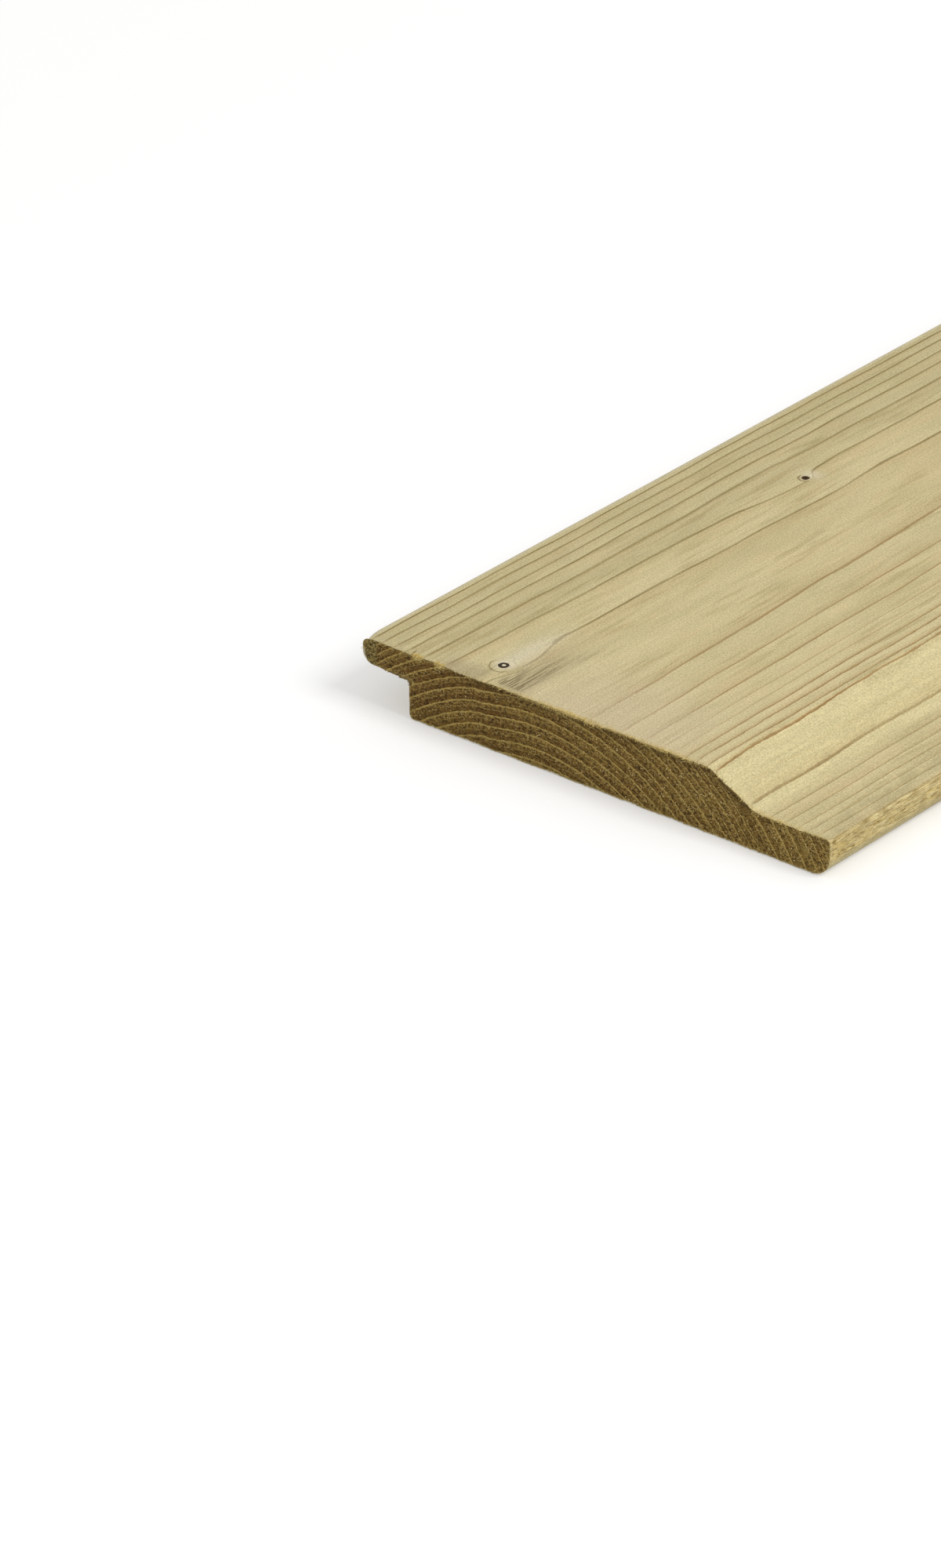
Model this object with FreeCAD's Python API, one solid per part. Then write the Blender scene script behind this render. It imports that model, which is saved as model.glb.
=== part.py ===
"""Shiplap cladding board: one planed softwood section, drawn once and extruded along the grain.

Millimetres. The board lies on its back with its length along Y and its face up. The lip with the rebate
behind it is at -X, the tongue with the cove above it at +X. The origin is the middle of the back, at Z 0.
"""

import FreeCAD, Part
import math
import os

# The planed stock
board_length = 1800.0
board_width = 145.0
board_thickness = 18.0

# The lip that laps over the next board, and the rebate cut behind it
lip_thickness = 7.0
lap_width = 15.0
lip_nose_top_radius = 2.0
lip_nose_back_radius = 3.0
rebate_corner_radius = 0.5
shoulder_back_radius = 1.2

# The tongue that slides under a neighbour's lip, and the ledge that stays in view beside that lip
lap_clearance = 0.5
visible_ledge = 7.0
tongue_top_radius = 1.2
tongue_back_radius = 5.5

# The cove between the face and the tongue: a straight slope that hollows out into the ledge
cove_width = 14.7
cove_arris_radius = 2.0
cove_foot_radius = 18.0

# Points nearer than this are one point
touching = 1e-6

# What follows from the sizes above
rebate_height = board_thickness - lip_thickness
tongue_thickness = rebate_height - lap_clearance
tongue_width = lap_width + visible_ledge

lip_edge_x = -board_width / 2
shoulder_x = lip_edge_x + lap_width
tongue_edge_x = board_width / 2
cove_foot_x = tongue_edge_x - tongue_width
cove_top_x = cove_foot_x - cove_width


def unit_towards(start, end):
    """The unit vector from one corner to the next."""
    return (end - start).normalize()


def turn_between(before, corner, after):
    """The angle in radians by which the outline changes direction at a corner."""
    return unit_towards(before, corner).getAngle(unit_towards(corner, after))


def rounded_section(corners):
    """A face in the XZ plane from (x, z, radius) corners, each rounded by a tangent arc.

    An arc starts radius * tan(turn / 2) before its corner. Where the arcs at both ends of a side would need
    more than the side's length, they shrink in the same proportion.
    """
    count = len(corners)
    points = [FreeCAD.Vector(x, 0, z) for x, z, _ in corners]
    setbacks = []
    for i, (_, _, radius) in enumerate(corners):
        turn = turn_between(points[i - 1], points[i], points[(i + 1) % count])
        setbacks.append(radius * math.tan(turn / 2))

    shares = []
    for i in range(count):
        ahead = (i + 1) % count
        room_behind = points[i].distanceToPoint(points[i - 1]) / (setbacks[i] + setbacks[i - 1])
        room_ahead = points[i].distanceToPoint(points[ahead]) / (setbacks[i] + setbacks[ahead])
        shares.append(min(1.0, room_behind, room_ahead))

    starts, middles, ends = [], [], []
    for i in range(count):
        to_last = unit_towards(points[i], points[i - 1])
        to_next = unit_towards(points[i], points[(i + 1) % count])
        setback = setbacks[i] * shares[i]
        half_opening = to_last.getAngle(to_next) / 2
        radius = setback * math.tan(half_opening)
        inward = (to_last + to_next).normalize()
        nearest = radius / math.sin(half_opening) - radius
        starts.append(points[i] + to_last * setback)
        middles.append(points[i] + inward * nearest)
        ends.append(points[i] + to_next * setback)

    edges = []
    for i in range(count):
        edges.append(Part.Arc(starts[i], middles[i], ends[i]).toShape())
        following = starts[(i + 1) % count]
        if ends[i].distanceToPoint(following) > touching:
            edges.append(Part.LineSegment(ends[i], following).toShape())
    return Part.Face(Part.Wire(edges))


def shiplap_section():
    """The board's cross section, from the lip's nose over the face to the tongue, and back under the board."""
    lip_top = (lip_edge_x, board_thickness, lip_nose_top_radius)
    cove_top = (cove_top_x, board_thickness, cove_arris_radius)
    cove_foot = (cove_foot_x, tongue_thickness, cove_foot_radius)
    tongue_top = (tongue_edge_x, tongue_thickness, tongue_top_radius)
    tongue_back = (tongue_edge_x, 0.0, tongue_back_radius)
    shoulder_back = (shoulder_x, 0.0, shoulder_back_radius)
    rebate_corner = (shoulder_x, rebate_height, rebate_corner_radius)
    lip_back = (lip_edge_x, rebate_height, lip_nose_back_radius)
    return rounded_section(
        [lip_top, cove_top, cove_foot, tongue_top, tongue_back, shoulder_back, rebate_corner, lip_back]
    )


def shiplap_board():
    """The section carried along the grain, with both ends sawn square."""
    section = shiplap_section()
    section.translate(FreeCAD.Vector(0, -board_length / 2, 0))
    return section.extrude(FreeCAD.Vector(0, board_length, 0))


os.makedirs("parts", exist_ok=True)
board = shiplap_board()
board.exportStep("parts/shiplap_board.step")
print("shiplap_board: valid", board.isValid(), "volume", round(board.Volume), "box", board.BoundBox)
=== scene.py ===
# %% [markdown]
# # A shiplap cladding board
#
# The object is one length of planed softwood: a rounded lip on one long edge, a tongue under a cove on the
# other, and a sawn end that shows the growth rings. This lesson builds its surface and its finish in Blender.
# The construction model arrives as a fixed frame in metres, and every size below is taken in that frame.

import itertools
import math
from typing import NamedTuple

import bpy
import numpy as np
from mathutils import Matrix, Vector


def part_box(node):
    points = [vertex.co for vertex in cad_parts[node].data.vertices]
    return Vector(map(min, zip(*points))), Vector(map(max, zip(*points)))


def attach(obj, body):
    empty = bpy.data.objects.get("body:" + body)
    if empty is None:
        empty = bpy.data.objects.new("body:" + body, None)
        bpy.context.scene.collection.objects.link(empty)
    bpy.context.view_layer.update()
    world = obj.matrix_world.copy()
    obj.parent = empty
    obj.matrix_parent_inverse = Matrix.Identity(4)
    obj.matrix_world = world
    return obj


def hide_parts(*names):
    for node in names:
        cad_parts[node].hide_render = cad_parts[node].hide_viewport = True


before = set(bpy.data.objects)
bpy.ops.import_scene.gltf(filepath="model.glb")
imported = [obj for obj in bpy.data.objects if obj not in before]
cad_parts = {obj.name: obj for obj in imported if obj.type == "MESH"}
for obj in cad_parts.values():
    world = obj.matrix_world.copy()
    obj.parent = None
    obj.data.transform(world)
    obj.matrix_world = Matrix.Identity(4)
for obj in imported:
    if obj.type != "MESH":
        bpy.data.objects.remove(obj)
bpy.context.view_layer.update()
low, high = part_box("shiplap_board")
MM = 0.001
print("board from", tuple(low), "to", tuple(high))

# %% [markdown]
# ## Sizes
#
# The wood's own coordinates make every later number easy to check with a ruler: across is counted from the
# nose of the lip, along from the near end, and height from the back face, all in millimetres.

# %% Board sizes in millimetres
WIDTH = (high[0] - low[0]) / MM
LENGTH = (high[1] - low[1]) / MM
THICKNESS = (high[2] - low[2]) / MM

LIP_THICKNESS = 7.0
LAP_WIDTH = 15.0
NOSE_TOP_RADIUS = 2.0
NOSE_BACK_RADIUS = 3.0
REBATE_CORNER_RADIUS = 0.5
SHOULDER_BACK_RADIUS = 1.2
LAP_CLEARANCE = 0.5
VISIBLE_LEDGE = 7.0
TONGUE_TOP_RADIUS = 1.2
TONGUE_BACK_RADIUS = 5.5
COVE_WIDTH = 14.7
COVE_ARRIS_RADIUS = 2.0
COVE_FOOT_RADIUS = 18.0

REBATE_HEIGHT = THICKNESS - LIP_THICKNESS
TONGUE_THICKNESS = REBATE_HEIGHT - LAP_CLEARANCE
COVE_FOOT = WIDTH - LAP_WIDTH - VISIBLE_LEDGE
COVE_TOP = COVE_FOOT - COVE_WIDTH
print("cove from", COVE_TOP, "to", COVE_FOOT, "mm across")

# %% [markdown]
# ## The camera
#
# Long stock is photographed with a long lens from well back, so its edges hardly converge. The camera's place
# is a distance, an azimuth and an elevation from a point on the floor just in front of the sawn end, which is
# easier to adjust than three raw coordinates.

# %% Camera
CAMERA_AZIMUTH = math.radians(39.526)
CAMERA_ELEVATION = math.radians(28.075)
CAMERA_DISTANCE = 2.1059
AIM_LIPWARD = 0.0240
AIM_BEFORE_END = 0.0169
LENS = 199.4
SENSOR = 36.0

aim = Vector(((low[0] + high[0]) / 2 - AIM_LIPWARD, low[1] - AIM_BEFORE_END, low[2]))
towards_camera = Vector(
    (
        math.sin(CAMERA_AZIMUTH) * math.cos(CAMERA_ELEVATION),
        -math.cos(CAMERA_AZIMUTH) * math.cos(CAMERA_ELEVATION),
        math.sin(CAMERA_ELEVATION),
    )
)
camera = bpy.data.objects.new("camera", bpy.data.cameras.new("camera"))
bpy.context.collection.objects.link(camera)
camera.location = aim + towards_camera * CAMERA_DISTANCE
camera.rotation_mode = "QUATERNION"
camera.rotation_quaternion = (-towards_camera).to_track_quat("-Z", "Y")
camera.data.lens = LENS
camera.data.sensor_width = SENSOR
camera.data.clip_start = 0.05
camera.data.clip_end = 50.0
bpy.context.scene.camera = camera
print("camera at", [round(v, 4) for v in camera.location])

# %% [markdown]
# ## A formula that both numpy and a material can read
#
# The same growth rings have to raise the surface a little and colour it. A surface is worked out by numpy and
# a colour by shader nodes, so the formula could be written twice and drift apart. Instead, the small class
# below stands for one number inside a material and turns ordinary arithmetic into Math nodes. A formula that
# uses only arithmetic and the few functions after it then works on numpy arrays and on materials alike.


# %% Numbers inside a material
class Wire:
    """One number that flows through a material; arithmetic on it adds Math nodes."""

    def __init__(self, tree, socket):
        self.tree = tree
        self.socket = socket

    def math(self, operation, *others, clamp=False):
        node = self.tree.nodes.new("ShaderNodeMath")
        node.operation = operation
        node.use_clamp = clamp
        for place, value in zip(node.inputs, (self, *others)):
            connect(self.tree, value, place)
        return Wire(self.tree, node.outputs[0])

    def swapped(self, operation, other):
        return constant(self.tree, other).math(operation, self)

    def __add__(self, other):
        return self.math("ADD", other)

    def __sub__(self, other):
        return self.math("SUBTRACT", other)

    def __mul__(self, other):
        return self.math("MULTIPLY", other)

    def __rsub__(self, other):
        return self.swapped("SUBTRACT", other)

    def __rtruediv__(self, other):
        return self.swapped("DIVIDE", other)

    __radd__ = __add__
    __rmul__ = __mul__


def connect(tree, value, place):
    """Feeds an input with a wire, or sets it to a plain number or colour."""
    if isinstance(value, Wire):
        tree.links.new(value.socket, place)
    else:
        place.default_value = value


def constant(tree, number):
    node = tree.nodes.new("ShaderNodeValue")
    node.outputs[0].default_value = number
    return Wire(tree, node.outputs[0])


# %% Functions for arrays and wires alike
def sine(v):
    return v.math("SINE") if isinstance(v, Wire) else np.sin(v)


def root(v):
    return v.math("SQRT") if isinstance(v, Wire) else np.sqrt(v)


def power_of_e(v):
    return v.math("EXPONENT") if isinstance(v, Wire) else np.exp(v)


def fraction(v):
    return v.math("FRACT") if isinstance(v, Wire) else v - np.floor(v)


def limited(v):
    """v held between 0 and 1."""
    return v.math("ADD", 0.0, clamp=True) if isinstance(v, Wire) else np.clip(v, 0, 1)


def ease(v, start, end):
    """Rises smoothly from 0 at start to 1 at end: t * t * (3 - 2 t) of the share t of the way."""
    t = limited((v - start) * (1 / (end - start)))
    return t * t * (3 - 2 * t)


def window(v, start, end, soft):
    """1 between start and end, with eased sides of the given width around both."""
    return ease(v, start - soft / 2, start + soft / 2) * (1 - ease(v, end - soft / 2, end + soft / 2))


def bell(v, centre, width):
    """1 at the centre, falling as exp(-(distance / width) squared)."""
    d = (v - centre) * (1 / width)
    return power_of_e(0 - d * d)


def blend(share, first, second):
    return first + (second - first) * share


def through(v, places, values):
    """Straight lines through the given places and values: numpy's interp, or a Float Curve in a material."""
    if not isinstance(v, Wire):
        return np.interp(v, places, values)
    start, reach = float(places[0]), float(places[-1] - places[0])
    bottom, rise = float(min(values)), float(max(values) - min(values))
    node = v.tree.nodes.new("ShaderNodeFloatCurve")
    curve = node.mapping.curves[0]
    for point, place, value in zip((curve.points[0], curve.points[-1]), (0, 1), (values[0], values[-1])):
        point.location = (place, (value - bottom) / rise)
    for place, value in zip(places[1:-1], values[1:-1]):
        curve.points.new((place - start) / reach, (value - bottom) / rise)
    for point in curve.points:
        point.handle_type = "VECTOR"
    node.mapping.update()
    connect(v.tree, limited((v - start) * (1 / reach)), node.inputs["Value"])
    return Wire(v.tree, node.outputs[0]) * rise + bottom

# %% [markdown]
# ## The wood inside the board
#
# A plank is cut from a log whose rings are nested tubes round the pith. Here the pith runs below the board, so
# the rings arch over it in the sawn end and meet the face as long lines. The field below gives the distance
# from the pith. It wanders a little along the grain, which makes the lines of the face sway, and it flows
# round each knot as water flows round a post.

# %% Pith and rings
PITH_HEIGHT = -49.95
QUARTER_TURN = math.pi / 2

# Distances of the ring edges from the pith in mm, as measured across the sawn end and the face
RING_EDGES = (
    (48.4, 51.7, 55.0, 58.2, 61.2, 64.3, 67.5, 70.1, 73.1, 76.05, 78.6, 80.5, 82.65, 84.55, 86.8, 87.5)
    + (91.2, 95.1, 98.5, 101.6, 103.9, 106.5, 109.0, 111.6, 114.2, 116.8, 119.4, 122.0)
)
# How dark each ring's outer edge is drawn on the planed faces, from 0 to 1.3
RING_DARKNESS = (
    (0.6, 0.8, 0.7, 0.9, 0.7, 0.8, 0.75, 0.90, 0.80, 0.85, 0.85, 0.85, 0.90, 1.05, 1.10, 1.10)
    + (0.75, 0.65, 0.65, 0.75, 0.7, 0.7, 0.7, 0.6, 0.6, 0.7, 0.6, 0.6)
)
print(len(RING_EDGES), "ring edges from", RING_EDGES[0], "to", RING_EDGES[-1], "mm from the pith")


def pith_across(y):
    """The pith's place across the board: it sways slowly along the log."""
    drift = sine(y * (1 / 420.0))
    return 52.2 + 1.35 * sine(y * (1 / 110.0) + QUARTER_TURN) + 2.5 * drift * drift

# %% Knots
class Knot(NamedTuple):
    """A branch stub: its place on the face, dark ring, and the swerve of the grain round it."""

    across: float
    along: float
    radius: float
    deadness: float
    swerve_shift: float
    swerve_radius: float
    shrink_before: float
    shrink_after: float
    halo_before: float
    pale_heart: float
    halo_size: float


KNOTS = (
    Knot(37.0, 9.8, 1.12, 1.0, -0.2, 4.5, 0.55, 0.28, 0.5, 1.0, 3.1),
    Knot(30.3, 139.3, 0.95, 0.95, -3.8, 4.4, 0.20, 1.6, 0.30, 0.0, 1.9),
    Knot(88.0, 402.0, 2.6, 0.35, 0.0, 5.4, 0.4, 0.4, 0.3, 0.0, 2.6),
    Knot(61.0, 930.0, 4.6, 0.25, 0.0, 7.5, 0.5, 0.4, 0.3, 0.0, 2.2),
    Knot(39.0, 1495.0, 3.2, 0.3, 0.0, 6.0, 0.45, 0.45, 0.3, 0.0, 2.4),
)
print(len(KNOTS), "knots, the nearest", KNOTS[0].along, "mm from the end")


def from_knot(x, y, z, knot):
    """Across and along distances of a point from a knot's axis, and how far out along the axis it is.

    The axis is the straight line from the pith to the knot's place on the face, and a knot widens along it.
    """
    share = (z - PITH_HEIGHT) * (1 / (THICKNESS - PITH_HEIGHT))
    centre = 52.6 + (knot.across - 52.6) * share
    return x - centre, y - knot.along, share


def distance_from_pith(x, y, z):
    """Distance from the pith in mm: a circle's radius, with slow sways along the grain and a bend at knots.

    Round a knot the grain runs as water runs round a post of radius a: the line that is now at distance u
    came from u * (1 - a * a / (u * u + v * v)), where v is the distance along the grain, shrunk on each side.
    """
    ripple = 0.10 * sine(y * (1 / 7.0) + x * 0.11) + 0.16 * sine(y * (1 / 23.0) + x * 0.05 + 1.0)
    swell = sine(y * (1 / 190.0))
    height = z - PITH_HEIGHT + 0.0055 * y + 3.2 * swell * swell * ease(y, 220.0, 520.0)
    across = x - pith_across(y) + ripple
    for knot in KNOTS:
        u, v, _ = from_knot(x, y, z, knot)
        u = u - knot.swerve_shift
        v = v * blend(ease(v, -3.0, 3.0), knot.shrink_before, knot.shrink_after)
        a = knot.swerve_radius
        side = blend(ease(u, -4.0, 1.0), 0.3, 1.0)
        across = across - u * side * limited(a * a / (u * u + v * v + 0.01))
    u, v, _ = from_knot(x, y, z, KNOTS[0])
    hollow = 0.25 * bell(u, -8.0, 7.0) * bell(v, -14.0, 13.0)
    bulge = 0.3 * bell(u, 0.0, 1.6) * bell(v, -14.0, 9.0)
    height = height - hollow + bulge
    return root(across * across + height * height)

# %% [markdown]
# ## The section
#
# The board's outline is eight corners, each rounded by an arc that is tangent to both sides. It is worked out
# as two chains that both run from the lip to the tongue: one over the face, one along the back. Points of the
# two chains with the same number face each other, so the sawn end is the ruled surface between them, and the
# whole board is a bent box of six grids with no seam.


# %% Rounded chains
def rounded_chain(corners, steps):
    """Points along a chain of (across, height, radius) corners, each turned into a tangent arc.

    The arc's centre lies on the corner's bisector at radius / sin(half the opening). Its points are the
    centre plus the radius at evenly spaced angles between the two tangent points.
    """
    places = np.array([corner[:2] for corner in corners], float)
    points = [places[:1]]
    for before, here, after, corner in zip(places, places[1:], places[2:], corners[1:]):
        back = (before - here) / np.linalg.norm(before - here)
        on = (after - here) / np.linalg.norm(after - here)
        half = math.acos(float(back @ on)) / 2
        bisector = (back + on) / np.linalg.norm(back + on)
        centre = here + bisector * corner[2] / math.sin(half)
        setback = corner[2] / math.tan(half)
        start = here + back * setback - centre
        end = here + on * setback - centre
        turn = math.atan2(start[0] * end[1] - start[1] * end[0], float(start @ end))
        angle = np.linspace(0, turn, steps)[:, None]
        points.append(centre + start * np.cos(angle) + start[::-1] * (-1, 1) * np.sin(angle))
    points.append(places[-1:])
    return np.concatenate(points)


def length_along(chain):
    return np.concatenate(([0.0], np.cumsum(np.linalg.norm(np.diff(chain, axis=0), axis=1))))


ARC_STEPS = 40
nose_middle = REBATE_HEIGHT + NOSE_BACK_RADIUS
top_chain = rounded_chain(
    (
        (0.0, nose_middle + 0.5, 0.0),
        (0.0, THICKNESS, NOSE_TOP_RADIUS),
        (COVE_TOP, THICKNESS, COVE_ARRIS_RADIUS),
        (COVE_FOOT, TONGUE_THICKNESS, COVE_FOOT_RADIUS),
        (WIDTH, TONGUE_THICKNESS, TONGUE_TOP_RADIUS),
        (WIDTH, TONGUE_THICKNESS - TONGUE_TOP_RADIUS, 0.0),
    ),
    ARC_STEPS,
)
back_chain = rounded_chain(
    (
        (0.0, nose_middle, 0.0),
        (0.0, REBATE_HEIGHT, NOSE_BACK_RADIUS),
        (LAP_WIDTH, REBATE_HEIGHT, REBATE_CORNER_RADIUS),
        (LAP_WIDTH, 0.0, SHOULDER_BACK_RADIUS),
        (WIDTH, 0.0, TONGUE_BACK_RADIUS),
        (WIDTH, TONGUE_BACK_RADIUS, 0.0),
    ),
    ARC_STEPS,
)
print("chain lengths in mm:", [round(float(length_along(chain)[-1]), 1) for chain in (top_chain, back_chain)])

# %% [markdown]
# The chains are now walked in matching steps. The pairs below say which place on the back faces which place
# on the face, as lengths along each chain: the walk slows down on the small arcs, so that they stay round, and
# fans out from the shoulder behind the lip, so that the ruled lines never cross.

# %% Matching steps across the board
COLUMNS = 264


def arc_length(radius, degrees=90.0):
    return radius * math.radians(degrees)


def walked(chain, stops):
    """The chain's points at the walk's columns: length is linear between stops of (column, length)."""
    lengths = length_along(chain)
    columns, stop_lengths = np.array(stops, float).T
    wanted = np.interp(np.arange(COLUMNS), columns, stop_lengths)
    wanted = wanted * (lengths[-1] / stop_lengths[-1])
    return np.stack([np.interp(wanted, lengths, chain[:, k]) for k in (0, 1)], 1)


nose_end = arc_length(NOSE_TOP_RADIUS)
face_flat = COVE_TOP - NOSE_TOP_RADIUS
cove_start = nose_end + face_flat
face_total = length_along(top_chain)[-1]
lip_under = arc_length(NOSE_BACK_RADIUS)
corner_start = lip_under + LAP_WIDTH - NOSE_BACK_RADIUS - REBATE_CORNER_RADIUS
corner_end = corner_start + arc_length(REBATE_CORNER_RADIUS)
wall_end = corner_end + REBATE_HEIGHT - REBATE_CORNER_RADIUS - SHOULDER_BACK_RADIUS
back_start = wall_end + arc_length(SHOULDER_BACK_RADIUS)
back_total = length_along(back_chain)[-1]
tongue_end_arc = arc_length(TONGUE_BACK_RADIUS)

top_stops = (
    (0, 0.0),
    (9, nose_end),
    (24, nose_end + 12.2),
    (29, nose_end + 13.4),
    (41, nose_end + 17.5),
    (46, nose_end + 20.0),
    (70, nose_end + 33.5),
    (198, cove_start - 1.5),
    (208, cove_start + 1.5),
    (230, cove_start + 20.0),
    (256, face_total - arc_length(TONGUE_TOP_RADIUS)),
    (COLUMNS - 1, face_total),
)
back_stops = (
    (0, 0.0),
    (9, lip_under),
    (24, corner_start),
    (29, corner_end),
    (41, wall_end),
    (46, back_start),
    (70, back_start + 19.0),
    (198, back_start + 91.0),
    (208, back_start + 94.0),
    (230, back_start + 108.0),
    (250, back_total - tongue_end_arc - 1.0),
    (COLUMNS - 1, back_total),
)
top_walk = walked(top_chain, top_stops)
back_walk = walked(back_chain, back_stops)
print(COLUMNS, "columns, longest step", round(float(np.diff(length_along(top_walk)).max()), 2), "mm")

# %% [markdown]
# ## Noise without randomness
#
# Torn fibres and saw marks need irregular numbers, but every run has to give the same board. Lattice noise
# does that: each corner of a grid gets a fixed number from a hash of its coordinates, and places in between
# blend the eight corners round them.


# %% Lattice noise
def hashed(cells, seed):
    """A fixed number from 0 to 1 for each row of whole-number coordinates: the fraction of a large sine."""
    mixed = cells @ np.array([127.1, 311.7, 74.7]) + seed * 53.3
    return fraction(np.sin(mixed) * 43758.5453)


def lattice_noise(places, seed=0):
    """Smooth noise from -1 to 1: eight hashed corners blended by eased distances from the lower corner."""
    lower = np.floor(places)
    t = places - lower
    t = t * t * (3 - 2 * t)
    total = np.zeros(places.shape[:-1])
    for corner in itertools.product((0, 1), repeat=3):
        share = np.prod(np.where(np.array(corner) == 1, t, 1 - t), axis=-1)
        total += share * hashed(lower + corner, seed)
    return total * 2 - 1


def noise_at(x, y, z, size, seed=0):
    """Lattice noise with cells of the given (across, along, height) size in mm."""
    return lattice_noise(np.stack([x / size[0], y / size[1], z / size[2]], -1), seed)


# %% [markdown]
# ## The board's surface
#
# The long sides are the outline carried along the grain, and the stations along the way crowd towards both
# ends, where the sawn arris is ragged. Each point is then moved a few hundredths of a millimetre outwards
# where it lies on hard latewood, and inwards on soft earlywood, as a planed board's surface does when it dries.

# %% Stations and rows
ROWS = 22
STATIONS = 85
END_CROWDING = 2.6


def stations():
    """Lengths from the near end: an even spacing t in -1..1, pushed towards both ends by a power."""
    t = np.linspace(-1, 1, STATIONS)
    pushed = np.sign(t) * (1 - (1 - np.abs(t)) ** END_CROWDING)
    return (pushed + 1) / 2 * LENGTH


along = stations()
print("stations", along[:5].round(3), "... widest gap", round(float(np.diff(along).max()), 1), "mm")


# %% Relief of the planed sides
LATEWOOD_RIDGE = 0.05


def ring_count(radius):
    """Number of rings inside a distance, with the fraction that is grown of the ring there."""
    return through(radius, RING_EDGES, range(len(RING_EDGES)))


def latewood(count, narrow=1.0):
    """0 in soft earlywood and 1 in the thin hard outer edge of each ring, which narrow makes thinner."""
    before_edge = (1 - fraction(count)) * narrow
    return ease(before_edge, 0.0, 0.025) * (1 - ease(before_edge, 0.06, 0.13))


def side_relief(x, y, z):
    """Outward height in mm: latewood ridges, a slow planer wave, and fine unevenness."""
    ridge = latewood(ring_count(distance_from_pith(x, y, z))) - 0.1
    wave = noise_at(x, y, z, (9.0, 60.0, 9.0), seed=1)
    fine = noise_at(x, y, z, (1.1, 7.0, 1.1), seed=2)
    return LATEWOOD_RIDGE * ridge + 0.04 * wave + 0.02 * fine

# %% Ruled section grid
def section_grid():
    """Across and height of every column and row: row 0 is the back chain, the last row is the face chain."""
    share = np.linspace(0, 1, ROWS)[None, :, None]
    return back_walk[:, None] * (1 - share) + top_walk[:, None] * share


section = section_grid()
print("section grid", section.shape)


# %% Ring of points round the section
def ring_of_grid():
    """Column and row of each outline point in order: along the back, up the tongue, over the face, down."""
    columns = np.arange(COLUMNS)
    rows = np.arange(1, ROWS - 1)
    column = np.concatenate(
        (columns, np.full(ROWS - 2, COLUMNS - 1), columns[::-1], np.zeros(ROWS - 2, int))
    )
    row = np.concatenate((np.zeros(COLUMNS, int), rows, np.full(COLUMNS, ROWS - 1), rows[::-1]))
    return column, row


ring_column, ring_row = ring_of_grid()
outline = section[ring_column, ring_row]
RING = len(outline)


def outward_of(outline_points):
    """Unit normals of a closed outline: the direction between a point's neighbours, turned a right angle."""
    tangent = np.roll(outline_points, -1, axis=0) - np.roll(outline_points, 1, axis=0)
    normal = np.stack([tangent[:, 1], -tangent[:, 0]], 1)
    return normal / np.linalg.norm(normal, axis=1, keepdims=True)


outward = outward_of(outline)
print(RING, "points round the board")

# %% [markdown]
# ## The ragged arris of the sawn end
#
# A saw leaves the end square but tears the outermost fibres, so the end's edge is chipped: short stretches
# of it are missing, and others stand proud. The first station's ring is moved in and out along the grain and
# nibbled inwards by noise, more along the face than along the back.

# %% Long sides
CHIP_DEPTH = 0.45
CHIP_FADE = 0.5
WORN_NOSE_DEPTH = 0.80
HANGING_FIBRES = 0.9

# Stretches across the board where the saw tore the face's arris: from, to and depth in mm
TEARS = ((10.3, 15.6, 0.55), (29.0, 32.5, 0.2), (45.0, 57.0, 0.25), (70.0, 76.5, 0.3), (86.0, 92.0, 0.3))
TEARS = TEARS + ((99.0, 105.5, 0.35), (112.0, 115.0, 0.25), (120.5, 124.5, 0.4), (131.0, 137.0, 0.3))


def tear_depth(x):
    return sum(depth * window(x, start, end, 0.7) for start, end, depth in TEARS)


def chipping(x, z):
    """How strongly the arris is chipped, 0 to 1: patches along the edge, stronger near the face."""
    patches = limited(noise_at(x, z * 0, z, (6.0, 1.0, 6.0), seed=5) + 0.45)
    return patches * (0.6 + 0.4 * ease(z, 4.0, 10.0))


def worn_nose(x, y, z):
    """Depth in mm by which the lip's top corner is rubbed down close to the near end."""
    corner = THICKNESS - NOSE_TOP_RADIUS
    return WORN_NOSE_DEPTH * bell(root((x - 0.6) ** 2 + (z - corner - 1.4) ** 2), 0.0, 2.1) * bell(y, 0.0, 2.8)


def hanging(x, y, z):
    """Depth in mm by which torn wood hangs below the lip at the near end, growing towards the shoulder."""
    towards_shoulder = limited((x - 4.0) / 10.6) * (1 - ease(x, 15.05, 15.3))
    under_lip = ease(z, 8.0, 11.0) * (1 - ease(z, 11.05, 11.3))
    return HANGING_FIBRES * towards_shoulder * under_lip * bell(y, 0.0, 1.6)


def side_points():
    """The long sides as (station, ring, 3) points in mm: outline plus relief along its outward normals."""
    x = outline[None, :, 0] + 0 * along[:, None]
    z = outline[None, :, 1] + 0 * along[:, None]
    y = along[:, None] + 0 * x
    from_end = np.minimum(y, LENGTH - y)
    inward = CHIP_DEPTH * chipping(x, z) * bell(from_end, 0.0, CHIP_FADE) * (0.2 + 0.8 * ease(x, 2.0, 8.0))
    bite = 0.5 + 0.5 * noise_at(x, y, z, (0.55, 3.0, 0.55), seed=6)
    facing_up = ease(outward[:, 1], 0.0, 0.5)
    tears = tear_depth(x) * facing_up * bell(from_end, 0.0, 0.55) * (0.6 + 0.4 * bite)
    height = side_relief(x, y, z) * (1 - bell(from_end, 0.0, 0.8)) - inward * bite - tears - worn_nose(x, y, z)
    return np.stack([x + outward[:, 0] * height, y, z + outward[:, 1] * height - hanging(x, y, z)], -1)


sides = side_points()
print("sides", sides.shape, "lowest point", round(float(sides[..., 2].min()), 3), "mm")

# %% Sawn ends
SAW_ROUGHNESS = 0.12
CRUSHED_NOSE = 0.2


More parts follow.
